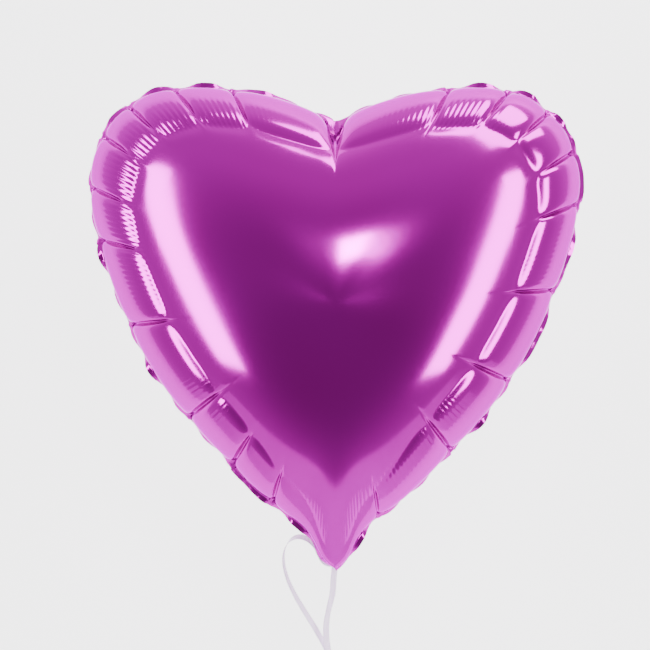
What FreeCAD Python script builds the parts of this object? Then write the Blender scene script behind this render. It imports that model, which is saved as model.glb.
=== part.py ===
"""Foil heart balloon: two metallised film panels heat-sealed round their edge, a flat self-sealing
valve inside, a neck gathered and tied with curling ribbon, and the inflation tail folded up behind.

Units are millimetres. +Z is up, the front panel faces -Y, and the origin is the middle of the
gathered neck, inside the ribbon's turns, which is the point that holds the balloon.
"""
import FreeCAD, Part
import math
import os

V = FreeCAD.Vector

# ---- driving dimensions ---------------------------------------------------------------------
HEART_WIDTH = 390.0        # inflated, from seam to seam
HEART_HEIGHT = 384.0       # inflated, from the tip of the neck to the tops of the lobes
FILM = 0.4                 # wall of each film panel
HALF_DEPTH = 94.0          # how far each panel bulges from the seam plane
SEAM_WIDTH = 5.0           # flat heat-sealed band outside the seam line
SEAM_FORWARD = 18.0        # the seam plane lies this far in front of the gathered neck
TIP_DROP = 9.0             # the neck's tip hangs this far below the gathered neck
RIM_POWER = 2.3            # how square the panel's shoulder is: 2 is an ellipse
TUCK_DEPTH = 5.5           # how far a tuck pulls the rim in
TUCK_HOLLOW = 0.3          # how much shallower the film is in a tuck, at the seam
TUCK_HALF_WIDTH = 4.5      # half the width of a tuck, along the rim
LOBE_BULGE = 2.0           # how far the film swells outwards between two tucks
LOBE_REACH = 24.0          # how far inwards a swelling and a tuck are felt
LOBE_STEP = 20.0           # the longest step between two columns of a lobe's net
ROUND_RADIUS = HEART_WIDTH * 0.4564     # radius that the film's level lines tend to inwards
NECK_SHALLOW = 0.66        # how much shallower the film is at the tip than on the body
NECK_REACH = 58.0          # height above the tip over which that shallowness fades

# Half of the seam's outline, from the notch over the lobe and down to the neck's tip, as shares of
# half the width and of the height above the tip.
OUTLINE_SHARES = [(0, 0.9297), (0.1538, 0.9635), (0.3385, 0.9896), (0.5538, 1), (0.7692, 0.9844),
                  (0.9282, 0.9193), (1, 0.8177), (0.9641, 0.6823), (0.8513, 0.5182),
                  (0.6821, 0.3672), (0.4205, 0.2161), (0.2256, 0.125), (0.1077, 0.0755),
                  (0.0718, 0.0443), (0.041, 0.0169), (0, 0)]
HALF_OUTLINE = [(HEART_WIDTH / 2 * across, HEART_HEIGHT * up) for across, up in OUTLINE_SHARES]
MIDDLE_HEIGHT = HEART_HEIGHT * 0.552    # height above the tip of the point where the panel is deepest

# Tucks, as distances along the seam from the notch, with how far each reaches inwards. The distances
# are on a half seam of TUCK_SEAM, and they stretch with the real one.
TUCK_SEAM = 619.2
TUCKS_RIGHT = [(95, 22), (143, 14), (180, 14), (218, 18), (260, 30), (332, 33), (413, 35),
                 (485, 33), (563, 25)]
TUCKS_LEFT = [(86, 17), (132, 17), (172, 14), (204, 12), (247, 14), (290, 16), (362, 24),
                (449, 30), (500, 20), (544, 24)]
NOTCH_REACH = 38.0
TIP_REACH = 6.0

# Gathered neck and the ribbon tied round it.
GATHER_RADIUS = 3.5
GATHER_HALF_LENGTH = 8.0
GATHER_WAIST = 7.0         # length of the plain stretch under the ribbon
GATHER_FLARE = 1.5         # the gather's ends are this much wider than its waist
PLEATS = 9
NECK_SEAT = 0.75           # how far the bundle's front end stands off the neck's film at its two ends
TURN_CLEARANCE = 0.06      # running fit of the ribbon's turns on the gather
RIBBON_WIDTH = 5.0
RIBBON_THICKNESS = 0.25
TURN_SHIFTS = [-0.25, 0.2, 0.0]     # how far each turn of the ribbon sits off the middle
KNOT_RADIUS = 3.0
KNOT_END_RADIUS = 2.2
KNOT_HALF_LENGTH = 3.6

# Inflation tail, past the tie.
TAIL_LENGTH = 46.0
TAIL_MOUTH_WIDTH = 30.0
TAIL_ROOT_WIDTH = 8.0
TAIL_CORNER = 3.0
TAIL_LEAN = 40.0           # degrees back from upright, where it lies behind the neck
TAIL_GAP = 0.3             # running gap at the fold

# Self-sealing valve: two thin plies of clear film.
VALVE_FILM = 0.15
VALVE_WIDTH = 22.0
VALVE_LENGTH = 112.0
VALVE_START = 10.0         # height above the tip where the inner plies begin, between the panels
INLET_ROOT_WIDTH = 5.0
INLET_INSET = 3.0          # the plies stop this far inside the tail's mouth

# The ribbon's two strands, from the knot down to the coil that the rest of it is put away in.
LONG_ROUTE = [V(0, 0, -7), V(-1.2, 0, -18), V(-1.6, 0, -31), V(-5.4, 0, -44), V(-7.6, 0, -59),
              V(-6, 0, -75), V(-0.5, 0, -89), V(4.4, 0, -103)]
SHORT_ROUTE = [V(-1, 0, -7), V(-6.1, 2.7, -7.2), V(-10.2, 5.1, -4), V(-13.7, 7.3, 1.5),
               V(-17.5, 9.2, 7.7), V(-22.4, 10.9, 12.6), V(-28.3, 12.5, 14.6),
               V(-34.3, 13.8, 13.2), V(-39.1, 14.6, 8.4), V(-41.7, 14.6, 0.6),
               V(-41.5, 13.7, -9.4), V(-38.2, 12.1, -20.9), V(-32.2, 10.2, -33.3),
               V(-24.5, 8.5, -46), V(-16.4, 7.3, -58.6), V(-9.3, 6.8, -70.8), V(-4.2, 6.9, -82.3),
               V(-1.4, 7.6, -93)]
COIL_MEAN_RADIUS = 27.0
COIL_THICKNESS = 9.0
COIL_WIDTH = 14.0
COIL_CORNER = 2.5
COIL_OFFSET = 4.08         # puts the ribbon's centre of mass straight below the gathered neck
TIE_WIDTH = 5.0
TIE_THICKNESS = 0.6

os.makedirs("parts", exist_ok=True)
MADE = {}


def export(name, shape):
    """Checks a node's solids and writes them to parts/NAME.step."""
    if not shape.isValid() or not shape.Solids or min(s.Volume for s in shape.Solids) <= 0:
        raise ValueError(name + " isn't a valid closed solid")
    MADE[name] = shape
    shape.exportStep("parts/" + name + ".step")


# ---- film panels ----------------------------------------------------------------------------
def smooth(t):
    """0 to 1 with level ends."""
    t = max(0.0, min(1.0, t))
    return t * t * (3 - 2 * t)


def outline_edge():
    curve = Part.BSplineCurve()
    curve.interpolate([V(x, 0, z) for x, z in HALF_OUTLINE])
    return curve.toShape()


OUTLINE = outline_edge()
SEAM_LENGTH = OUTLINE.Length
print("half seam", round(SEAM_LENGTH, 2))


def seam_at(distance, side=1):
    """The seam's point this far from the notch, on the right (1) or left (-1), and the way out there."""
    distance = max(0.0, min(SEAM_LENGTH, distance))
    at = OUTLINE.getParameterByLength(distance)
    point, along = OUTLINE.valueAt(at), OUTLINE.tangentAt(at)
    outward = V(-along.z * side, 0, along.x)
    if distance in (0.0, SEAM_LENGTH):
        outward = V(0, 0, 1 if distance == 0.0 else -1)
    return V(point.x * side, 0, point.z), outward


def film_point(distance, side, swell, share):
    """A point of the smooth film. share is 1 at the seam and 0 where the panel is deepest."""
    seam, outward = seam_at(distance, side)
    middle = V(0, 0, MIDDLE_HEIGHT)
    ray = seam - middle
    inward = (1 - share) * ray.Length
    rounding = 0.8 * smooth((1 - share) / 0.9)
    point = middle + ray * (share * (1 - rounding + rounding * ROUND_RADIUS / ray.Length))
    if 0 < distance < SEAM_LENGTH:
        point += outward * (LOBE_BULGE * swell * math.exp(-(inward / LOBE_REACH) ** 2))
    depth = HALF_DEPTH * max(0.0, 1 - share ** RIM_POWER) ** (1 / 2.1)
    depth *= 1 - NECK_SHALLOW * math.exp(-(max(0.0, point.z) / NECK_REACH) ** 1.3)
    return V(point.x, -depth, point.z)


SHARES = [1.0, 0.985, 0.95, 0.89, 0.83, 0.78, 0.72, 0.58, 0.36, 0.15, 0.05]
SHOULDER = 5               # the row where the lobed rim passes into the plain dome


def tuck_columns():
    """(distance, side, reach) of every tuck, once round the seam, clockwise from the notch."""
    stretch = SEAM_LENGTH / TUCK_SEAM
    right = [(d * stretch, 1, reach) for d, reach in TUCKS_RIGHT]
    left = [(d * stretch, -1, reach) for d, reach in reversed(TUCKS_LEFT)]
    return [(0.0, 1, NOTCH_REACH)] + right + [(SEAM_LENGTH, 1, TIP_REACH)] + left


def lobe_stations(start, end):
    """(distance, side, swell) of the columns between two tucks, in order."""
    side = -1 if start[1] < 0 or start[0] == SEAM_LENGTH else 1
    way = 1 if end[0] > start[0] else -1
    inner = abs(end[0] - start[0]) - 2 * TUCK_HALF_WIDTH
    count = max(3, math.ceil(inner / LOBE_STEP))
    found = []
    for k in range(count + 1):
        share = k / count
        found.append((start[0] + way * (TUCK_HALF_WIDTH + share * inner), side,
                      math.sin(math.pi * (0.08 + 0.84 * share)) ** 0.5))
    return found


def tuck_point(before, after, tuck, share):
    """The tuck's point between the two columns beside it: level with them inwards, pulled in at the seam."""
    distance, side, reach = tuck
    seam, outward = seam_at(distance, side)
    inward = (1 - share) * (seam - V(0, 0, MIDDLE_HEIGHT)).Length
    pull = math.exp(-(inward / reach) ** 2)
    point = (before + after) * 0.5
    if 0 < distance < SEAM_LENGTH:
        point -= outward * (TUCK_DEPTH * pull)
    return V(point.x, point.y * (1 - TUCK_HOLLOW * pull), point.z)


def level(column):
    """Puts the shoulder's point in line with its neighbours, so that rim and dome meet smoothly."""
    before, at, after = column[SHOULDER - 1:SHOULDER + 2]
    share = at.distanceToPoint(before) / (at.distanceToPoint(before) + at.distanceToPoint(after))
    column[SHOULDER] = before + (after - before) * share


def film_nets():
    """For each lobe, the control nets of the film's outer and inner face, with the seam plane at y = 0.

    Neighbouring nets share the column that lies in the tuck between them.
    """
    tucks = tuck_columns()
    count = len(tucks)
    lobes = [[([film_point(d, side, swell, share) for share in SHARES], (d, side))
              for d, side, swell in lobe_stations(tucks[i], tucks[(i + 1) % count])] for i in range(count)]
    ring, starts = [], []
    for i, tuck in enumerate(tucks):
        before, after = lobes[i - 1][-1][0], lobes[i][0][0]
        starts.append(len(ring))
        ring.append(([tuck_point(p, q, tuck, s) for p, q, s in zip(before, after, SHARES)], tuck[:2]))
        ring += lobes[i]
    outer = [column for column, place in ring]
    for column in outer:
        column[0].y = -FILM
        column[-1].y = column[-2].y = -HALF_DEPTH
        level(column)
    inner = []
    for i, (column, place) in enumerate(ring):
        thin = []
        for j, point in enumerate(column):
            around = outer[(i + 1) % len(outer)][j] - outer[i - 1][j]
            down = column[min(j + 1, len(column) - 1)] - column[max(j - 1, 0)]
            normal = around.cross(down)
            if place[0] in (0.0, SEAM_LENGTH):
                normal.x = 0
            normal.normalize()
            thin.append(point + normal * (FILM if normal.y > 0 else -FILM))
        thin[0] = V(column[0].x, 0, column[0].z) - seam_at(*place)[1] * FILM
        thin[-1].y = thin[-2].y = -HALF_DEPTH + FILM
        level(thin)
        inner.append(thin)
    spans = list(zip(starts, starts[1:] + [len(ring)]))
    pick = lambda net, span: [net[k % len(net)] for k in range(span[0], span[1] + 1)]
    places = [place for column, place in ring]
    return [(pick(outer, span), pick(inner, span), pick(places, span)) for span in spans]


def knots(count, degree=3):
    """Clamped even knots and their multiplicities."""
    spans = count - degree
    return list(range(spans + 1)), [degree + 1] + [1] * (spans - 1) + [degree + 1]


def surface_face(net):
    ku, mu = knots(len(net))
    kv, mv = knots(len(net[0]))
    surface = Part.BSplineSurface()
    surface.buildFromPolesMultsKnots(net, mu, mv, ku, kv, False, False, 3, 3)
    return surface.toShape()


def row_edge(points):
    values, mults = knots(len(points))
    curve = Part.BSplineCurve()
    curve.buildFromPolesMultsKnots(points, mults, values, False, 3)
    return curve.toShape()


def band_row(row, places, y):
    """The heat-sealed band's outer edge beside one lobe, wider on the lobe than at its two tucks."""
    points = [V(p.x, y, p.z) + seam_at(*place)[1] * SEAM_WIDTH for p, place in zip(row, places)]
    for end, beside in ((0, 1), (-1, -2)):
        if places[end][0] not in (0.0, SEAM_LENGTH):
            points[end] += seam_at(*places[end])[1] * (0.4 * TUCK_DEPTH)
    return points


def closed_solid(faces):
    solid = Part.Solid(Part.Shell(faces))
    if solid.Volume < 0:
        solid.reverse()
    return solid


def make_panel():
    """The front panel, with its seam plane at y = 0: domed film with a flat band round it.

    The second solid is the space that the film's outer face encloses.
    """
    faces, film = [], []
    rims = {name: [] for name in ("outer", "inner", "band_front", "band_back", "cap_out", "cap_in")}
    for outer, inner, places in film_nets():
        for rows in (slice(0, SHOULDER + 1), slice(SHOULDER, None)):
            film.append(surface_face([column[rows] for column in outer]))
            faces.append(surface_face([column[rows] for column in inner]))
        rows = {"outer": [c[0] for c in outer], "inner": [c[0] for c in inner],
                "cap_out": [c[-1] for c in outer], "cap_in": [c[-1] for c in inner],
                "band_front": band_row([c[0] for c in outer], places, -FILM),
                "band_back": band_row([c[0] for c in outer], places, 0.0)}
        for name, row in rows.items():
            rims[name].append(row_edge(row))
        faces += Part.makeRuledSurface(rims["band_front"][-1], rims["band_back"][-1]).Faces
    wires = {name: Part.Wire(Part.__sortEdges__(edges)) for name, edges in rims.items()}
    maker = "Part::FaceMakerBullseye"
    faces += Part.makeFace([wires["band_front"], wires["outer"]], maker).Faces
    faces += Part.makeFace([wires["band_back"], wires["inner"]], maker).Faces
    cap = Part.makeFace([wires["cap_out"]], maker).Faces
    faces += film + cap + Part.makeFace([wires["cap_in"]], maker).Faces
    return closed_solid(faces), closed_solid(film + cap + Part.makeFace([wires["outer"]], maker).Faces)


def place_film(shape):
    """From the seam's own frame, with the tip at the origin, to the balloon's frame."""
    moved = shape.copy()
    moved.translate(V(0, -SEAM_FORWARD, -TIP_DROP))
    return moved


# ---- neck gather ------------------------------------------------------------------------------
def make_pleat(end, turn):
    """The groove between two pleats of a flare: none at the waist, deepest at the bundle's end."""
    waist = math.copysign(GATHER_WAIST / 2, end)
    outside = GATHER_RADIUS + GATHER_FLARE + 1
    half = math.tan(math.pi / PLEATS) * outside * 0.45
    corners = [V(GATHER_RADIUS + 0.05, waist, 0), V(outside, waist, half), V(outside, waist, -half)]
    groove = Part.Face(Part.makePolygon(corners + corners[:1])).extrude(V(0, end - waist, 0))
    return groove.rotate(V(0, 0, 0), V(0, 1, 0), turn)


def make_gather(neck):
    """The bundle of pleats: round and plain under the ribbon, flared at both ends.

    Its front end is cut along the slope of the neck's back, so that it seats on the film.
    """
    front = -GATHER_HALF_LENGTH - GATHER_RADIUS - GATHER_FLARE
    side = []
    for end in (front, GATHER_HALF_LENGTH):
        waist = math.copysign(GATHER_WAIST / 2, end)
        side.append(Part.makeLine(V(GATHER_RADIUS, waist, 0), V(GATHER_RADIUS + GATHER_FLARE, end, 0)))
    corners = [V(GATHER_RADIUS, -GATHER_WAIST / 2, 0), V(GATHER_RADIUS, GATHER_WAIST / 2, 0)]
    ends = [V(GATHER_RADIUS + GATHER_FLARE, y, 0) for y in (front, GATHER_HALF_LENGTH)]
    edges = side + [Part.makeLine(*corners), Part.makeLine(ends[0], V(0, front, 0)),
                    Part.makeLine(V(0, front, 0), V(0, GATHER_HALF_LENGTH, 0)),
                    Part.makeLine(V(0, GATHER_HALF_LENGTH, 0), ends[1])]
    bundle = Part.Face(Part.Wire(Part.__sortEdges__(edges))).revolve(V(0, 0, 0), V(0, 1, 0), 360)
    bundle = bundle.cut([make_pleat(end, 360 * (i + 0.5) / PLEATS)
                         for end in (2 * front, 2 * GATHER_HALF_LENGTH) for i in range(PLEATS)])
    reach = GATHER_RADIUS + GATHER_FLARE + 1
    slope = []
    for z in (-reach, reach):
        line = Part.makeLine(V(0, -SEAM_FORWARD, z), V(0, HALF_DEPTH, z)).common(neck)
        slope.append(V(-reach, line.BoundBox.YMax + NECK_SEAT, z))
    behind = [V(-reach, 2 * GATHER_HALF_LENGTH, reach), V(-reach, 2 * GATHER_HALF_LENGTH, -reach)]
    wedge = Part.Face(Part.makePolygon(slope + behind + slope[:1])).extrude(V(2 * reach, 0, 0))
    return bundle.common(wedge)


# ---- inflation tail ---------------------------------------------------------------------------
def tail_outline(root, mouth, length):
    """A flat outline in the XZ plane, flaring from the root up to the mouth."""
    shoulder = length * 0.6
    flare = Part.BSplineCurve()
    flare.interpolate([V(root / 2, 0, 0), V(root / 2 + 0.25 * (mouth - root) / 2, 0, 0.2 * shoulder),
                       V(root / 2 + 0.85 * (mouth - root) / 2, 0, 0.7 * shoulder),
                       V(mouth / 2, 0, shoulder)])
    right = flare.toShape()
    left = right.mirror(V(0, 0, 0), V(1, 0, 0))
    upper = [V(mouth / 2, 0, shoulder), V(mouth / 2, 0, length), V(-mouth / 2, 0, length),
             V(-mouth / 2, 0, shoulder)]
    edges = [right, left, Part.makeLine(V(-root / 2, 0, 0), V(root / 2, 0, 0))]
    edges += [Part.makeLine(a, b) for a, b in zip(upper, upper[1:])]
    return Part.Face(Part.Wire(Part.__sortEdges__(edges)))


def slab(face, low, high):
    """The outline given thickness from y = low to y = high."""
    moved = face.copy()
    moved.translate(V(0, low, 0))
    return moved.extrude(V(0, high - low, 0))


def round_mouth(shape):
    """Rounds the ply's two corners at its mouth."""
    corners = [e for e in shape.Edges if len(e.Vertexes) == 2 and e.Vertexes[0].Z > TAIL_LENGTH - 0.01
               and e.Vertexes[1].Z > TAIL_LENGTH - 0.01 and abs(e.tangentAt(e.FirstParameter).y) > 0.99
               and abs(e.Vertexes[0].X) > TAIL_MOUTH_WIDTH / 2 - 0.01]
    return shape.makeFillet(TAIL_CORNER, corners)


TAIL_PLY = FILM + VALVE_FILM
TAIL_HINGE = V(0, GATHER_HALF_LENGTH + TAIL_GAP + TAIL_PLY, 0)


def place_tail(shape):
    """Leans the flat tail back behind the neck, about its fold."""
    moved = shape.copy()
    moved.rotate(V(0, 0, 0), V(1, 0, 0), -TAIL_LEAN)
    moved.translate(TAIL_HINGE)
    return moved


def make_tail():
    """Front ply, back ply and the valve's inlet between them."""
    outline = tail_outline(TAIL_ROOT_WIDTH, TAIL_MOUTH_WIDTH, TAIL_LENGTH)
    passage = tail_outline(INLET_ROOT_WIDTH, VALVE_WIDTH, TAIL_LENGTH + 1)
    inlet = tail_outline(INLET_ROOT_WIDTH, VALVE_WIDTH, TAIL_LENGTH - INLET_INSET)
    pocket = slab(passage, -VALVE_FILM, VALVE_FILM)
    plies = [round_mouth(slab(outline, *span)).cut(pocket) for span in ((-TAIL_PLY, 0), (0, TAIL_PLY))]
    films = slab(inlet, -VALVE_FILM, VALVE_FILM).common(pocket)
    return [place_tail(s) for s in plies + [films]]


# ---- valve inside the body --------------------------------------------------------------------
def make_valve_film(low, high, panels):
    """One ply of the valve, in the seam plane, with its foot held between the panels at the neck."""
    film = Part.makeBox(VALVE_WIDTH, high - low, VALVE_LENGTH, V(-VALVE_WIDTH / 2, low, VALVE_START))
    film = place_film(film)
    for panel in panels:
        film = max(film.cut(panel).Solids, key=lambda s: s.Volume)
    return film


# ---- ribbon -----------------------------------------------------------------------------------
def cord_path(name, points):
    """Straight runs joined by tangent arcs, each as large as its two runs allow."""
    corners = []
    for before, point, after in zip(points, points[1:], points[2:]):
        back, ahead = before - point, after - point
        turn = math.pi - back.getAngle(ahead)
        reach = 0.45 * min(back.Length, ahead.Length)
        back.normalize()
        ahead.normalize()
        centre_way = back + ahead
        centre_way.normalize()
        radius = reach / math.tan(turn / 2)
        sag = radius / math.cos(turn / 2) - radius
        corners.append((point + back * reach, point + centre_way * sag, point + ahead * reach, radius))
    edges = []
    at = points[0]
    for start, middle, end, radius in corners:
        edges += [Part.makeLine(at, start), Part.Arc(start, middle, end).toShape()]
        at = end
    edges.append(Part.makeLine(at, points[-1]))
    path = Part.Wire(edges)
    print(name, "length", round(path.Length, 1), "radii", [round(c[3]) for c in corners])
    return path


def make_strand(name, points, diameter):
    path = cord_path(name, points)
    ring = Part.Wire([Part.makeCircle(diameter / 2, points[0], points[1] - points[0])])
    tube = path.makePipeShell([ring], True, False)
    section = math.pi * diameter ** 2 / 4
    print(name, "volume against section times length", round(tube.Volume / (section * path.Length), 4))
    return tube


def make_wrap():
    """Turns of ribbon lying on each other round the gather, each a little off the last."""
    turns = []
    for i, shift in enumerate(TURN_SHIFTS):
        inner = GATHER_RADIUS + TURN_CLEARANCE + i * RIBBON_THICKNESS
        start = V(0, shift - RIBBON_WIDTH / 2, 0)
        outer = Part.makeCylinder(inner + RIBBON_THICKNESS, RIBBON_WIDTH, start, V(0, 1, 0))
        turns.append(outer.cut(Part.makeCylinder(inner, RIBBON_WIDTH, start, V(0, 1, 0))))
    return turns[0].fuse(turns[1:]).removeSplitter()


WRAP_RADIUS = GATHER_RADIUS + TURN_CLEARANCE + len(TURN_SHIFTS) * RIBBON_THICKNESS
KNOT_CENTRE = V(0, 0, -WRAP_RADIUS - 0.8 * KNOT_RADIUS)


def make_knot():
    """A pulled-tight half knot under the turns: a small barrel of ribbon lying along X."""
    half = [V(KNOT_HALF_LENGTH, 0, 0), V(KNOT_HALF_LENGTH, 0, KNOT_END_RADIUS),
            V(0.6 * KNOT_HALF_LENGTH, 0, KNOT_RADIUS)]
    side = half + [V(-p.x, 0, p.z) for p in reversed(half)]
    core = Part.Face(Part.makePolygon(side + side[:1])).revolve(V(0, 0, 0), V(1, 0, 0), 360)
    core.translate(KNOT_CENTRE)
    hole = Part.makeCylinder(WRAP_RADIUS, 4 * RIBBON_WIDTH, V(0, -2 * RIBBON_WIDTH, 0), V(0, 1, 0))
    return core.cut(hole)


def make_coil(centre):
    """The outer shape of the coiled ribbon: a ring with its corners taken off, its axis along Y."""
    half, width = COIL_THICKNESS / 2, COIL_WIDTH / 2
    corners = [(half - COIL_CORNER, -width), (half, COIL_CORNER - width), (half, width - COIL_CORNER),
               (half - COIL_CORNER, width)]
    corners += [(-r, y) for r, y in reversed(corners)]
    points = [V(COIL_MEAN_RADIUS + r, y, 0) for r, y in corners]
    ring = Part.Face(Part.makePolygon(points + points[:1])).revolve(V(0, 0, 0), V(0, 1, 0), 360)
    ring.translate(centre)
    return ring


def make_tie(centre, coil):
    """A short band of ribbon round the coil at its top, where the two strands come in."""
    half = V(TIE_WIDTH / 2, COIL_WIDTH / 2 + TIE_THICKNESS, COIL_THICKNESS / 2 + TIE_THICKNESS)
    top = centre + V(0, 0, COIL_MEAN_RADIUS)
    band = Part.makeBox(2 * half.x, 2 * half.y, 2 * half.z, top - half)
    along = [e for e in band.Edges if abs(e.tangentAt(e.FirstParameter).x) > 0.99]
    return band.makeFillet(COIL_CORNER, along).cut(coil)


# ---- the parts --------------------------------------------------------------------------------
front, inside = make_panel()
back, inside = [place_film(s.mirror(V(0, 0, 0), V(0, 1, 0))) for s in (front, inside)]
front = place_film(front)
panels = [front, back]
export("front_panel", front)
export("back_panel", back)
export("neck_gather", make_gather(inside))
export("valve_front_film", make_valve_film(-VALVE_FILM, 0, panels))
export("valve_back_film", make_valve_film(0, VALVE_FILM, panels))
for name, shape in zip(("tail_front_ply", "tail_back_ply", "valve_inlet"), make_tail()):
    export(name, shape)

wrap = make_wrap()
knot = make_knot()
coil_centre = V(COIL_OFFSET, 0, LONG_ROUTE[-1].z - TIE_THICKNESS - COIL_THICKNESS / 2 - COIL_MEAN_RADIUS)
coil = make_coil(coil_centre)
tie = make_tie(coil_centre, coil)
long_strand = make_strand("ribbon_long", LONG_ROUTE, RIBBON_WIDTH).cut(knot).cut(tie).cut(coil)
short_strand = make_strand("ribbon_short", SHORT_ROUTE, RIBBON_WIDTH).cut(knot).cut(long_strand)
for name, shape in (("ribbon_wrap", wrap), ("ribbon_knot", knot), ("ribbon_long", long_strand),
                    ("ribbon_short", short_strand), ("ribbon_coil", coil), ("coil_tie", tie)):
    export(name, shape)

moment, volume = V(0, 0, 0), 0.0
for name in [n for n in MADE if n.startswith(("ribbon", "coil"))]:
    moment += sum((s.CenterOfMass * s.Volume for s in MADE[name].Solids), V(0, 0, 0))
    volume += MADE[name].Volume
print("ribbon's centre of mass", [round(x, 2) for x in moment * (1 / volume)])
for name, shape in MADE.items():
    box = shape.BoundBox
    print(name, "cm3", round(shape.Volume / 1000, 3), "size",
          [round(x, 1) for x in (box.XLength, box.YLength, box.ZLength)], len(shape.Solids), "solid")
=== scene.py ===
# %% [markdown]
# # A foil heart balloon
# A foil balloon is two flat hearts of metallised film, sealed to each other round the edge. Gas pushes
# the film out into two domes, and because film doesn't stretch, the edge has to shorten. It does that
# by puckering: a row of small pillows with a sharp tuck between each pair. The neck is gathered and
# tied with curling ribbon. This script loads the finished solid model as a fixed frame, and then makes
# the ribbon, the film, the small pieces at the neck, the finishes and a small studio.

# %% Load the frame
import math

import bmesh
import bpy
import numpy as np
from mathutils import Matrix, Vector


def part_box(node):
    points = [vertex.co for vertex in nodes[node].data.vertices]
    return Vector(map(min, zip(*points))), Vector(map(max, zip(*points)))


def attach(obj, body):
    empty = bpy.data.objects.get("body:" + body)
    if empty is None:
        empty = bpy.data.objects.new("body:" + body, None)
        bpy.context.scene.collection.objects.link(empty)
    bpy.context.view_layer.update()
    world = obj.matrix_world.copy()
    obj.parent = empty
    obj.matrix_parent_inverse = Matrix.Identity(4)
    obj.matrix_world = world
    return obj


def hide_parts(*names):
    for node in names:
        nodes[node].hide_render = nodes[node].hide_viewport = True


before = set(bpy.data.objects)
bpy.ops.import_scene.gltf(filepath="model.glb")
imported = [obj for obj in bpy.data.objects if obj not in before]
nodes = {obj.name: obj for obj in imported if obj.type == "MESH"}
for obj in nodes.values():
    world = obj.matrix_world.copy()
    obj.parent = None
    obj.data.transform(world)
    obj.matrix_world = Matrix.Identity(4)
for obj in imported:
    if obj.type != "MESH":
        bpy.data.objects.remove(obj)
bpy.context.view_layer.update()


def nothing_selected():
    """Leaves object mode with nothing selected, so that the next operator acts only on what it makes."""
    if bpy.context.object and bpy.context.object.mode != "OBJECT":
        bpy.ops.object.mode_set(mode="OBJECT")
    bpy.ops.object.select_all(action="DESELECT")


# %% [markdown]
# ## Where the eye is
# The balloon is seen straight from the front, level with its middle, through a long lens: a long lens
# from far away keeps the heart's outline free of perspective. The view is 0.52 m wide, so it holds
# the whole heart and the first few centimetres of ribbon.

# %% Camera
VIEW_WIDTH = 0.52
EYE_DISTANCE = 2.2
SENSOR_WIDTH = 36
AIM_SIDE = -0.008          # the eye looks this far beside the heart's middle
AIM_HEIGHT = 0.1984        # and this far above its tip
seam_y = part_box("front_panel")[1].y
tip_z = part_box("front_panel")[0].z
aim = Vector((AIM_SIDE, seam_y, tip_z + AIM_HEIGHT))
nothing_selected()
bpy.ops.object.camera_add(location=aim + Vector((0, -EYE_DISTANCE, 0)), rotation=(math.pi / 2, 0, 0))
camera = bpy.context.object
camera.data.sensor_width = SENSOR_WIDTH
camera.data.lens = SENSOR_WIDTH * EYE_DISTANCE / VIEW_WIDTH
bpy.context.scene.camera = camera
print("lens in mm:", round(camera.data.lens))

# %% [markdown]
# ## The ribbon's line
# Curling ribbon is a flat strip, 5 mm wide. Two strands leave the knot: a long one that somebody would
# hold, and a short cut end that arches up behind the rim and falls again. The rest of the long one is
# wound into a coil below the balloon. A strip is easiest to make in two steps: first its middle line,
# as a NURBS curve through listed points, and then a strip of faces that follows that line.

# %% Lines for the two strands
RIBBON_WIDTH = 0.005
RIBBON_THICKNESS = 0.00025
LONG_ROUTE = [(0, 0, -.007), (-.0012, 0, -.018), (-.0016, 0, -.031), (-.0054, 0, -.044),
              (-.0076, 0, -.059), (-.006, 0, -.075), (-.0005, 0, -.089), (.0044, 0, -.103)]
SHORT_ROUTE = [(-0.001, 0, -0.007), (-0.0061, 0.0027, -0.0072), (-0.0102, 0.0051, -0.004),
               (-0.0137, 0.0073, 0.0015), (-0.0175, 0.0092, 0.0077), (-0.0224, 0.0109, 0.0126),
               (-0.0283, 0.0125, 0.0146), (-0.0343, 0.0138, 0.0132), (-0.0391, 0.0146, 0.0084),
               (-0.0417, 0.0146, 0.0006), (-0.0415, 0.0137, -0.0094), (-0.0382, 0.0121, -0.0209),
               (-0.0322, 0.0102, -0.0333), (-0.0245, 0.0085, -0.046), (-0.0164, 0.0073, -0.0586),
               (-0.0093, 0.0068, -0.0708), (-0.0042, 0.0069, -0.0823), (-0.0014, 0.0076, -0.093)]


def nurbs_line(name, points):
    """The points of a smooth NURBS line through a route, as an array."""
    curve = bpy.data.curves.new(name, "CURVE")
    curve.dimensions = "3D"
    curve.resolution_u = 6
    spline = curve.splines.new("NURBS")
    spline.points.add(len(points) - 1)
    for control, point in zip(spline.points, points):
        control.co = (*point, 1)
    spline.order_u = 3
    spline.use_endpoint_u = True
    helper = bpy.data.objects.new(name, curve)
    bpy.context.scene.collection.objects.link(helper)
    bpy.context.view_layer.update()
    mesh = bpy.data.meshes.new_from_object(helper)
    line = np.array([v.co for v in mesh.vertices])
    bpy.data.objects.remove(helper)
    bpy.data.meshes.remove(mesh)
    print(name, "line:", len(line), "points,", round(line_length(line), 4), "m")
    return line


def line_length(line):
    """The length of a line of points."""
    return float(np.linalg.norm(np.diff(line, axis=0), axis=1).sum())


# %% [markdown]
# ## The coil
# The turns are points of the long strand's own line. They lie in three columns side by side, and each
# new layer is a little further out, the way a hand winds ribbon round two fingers.

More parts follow.
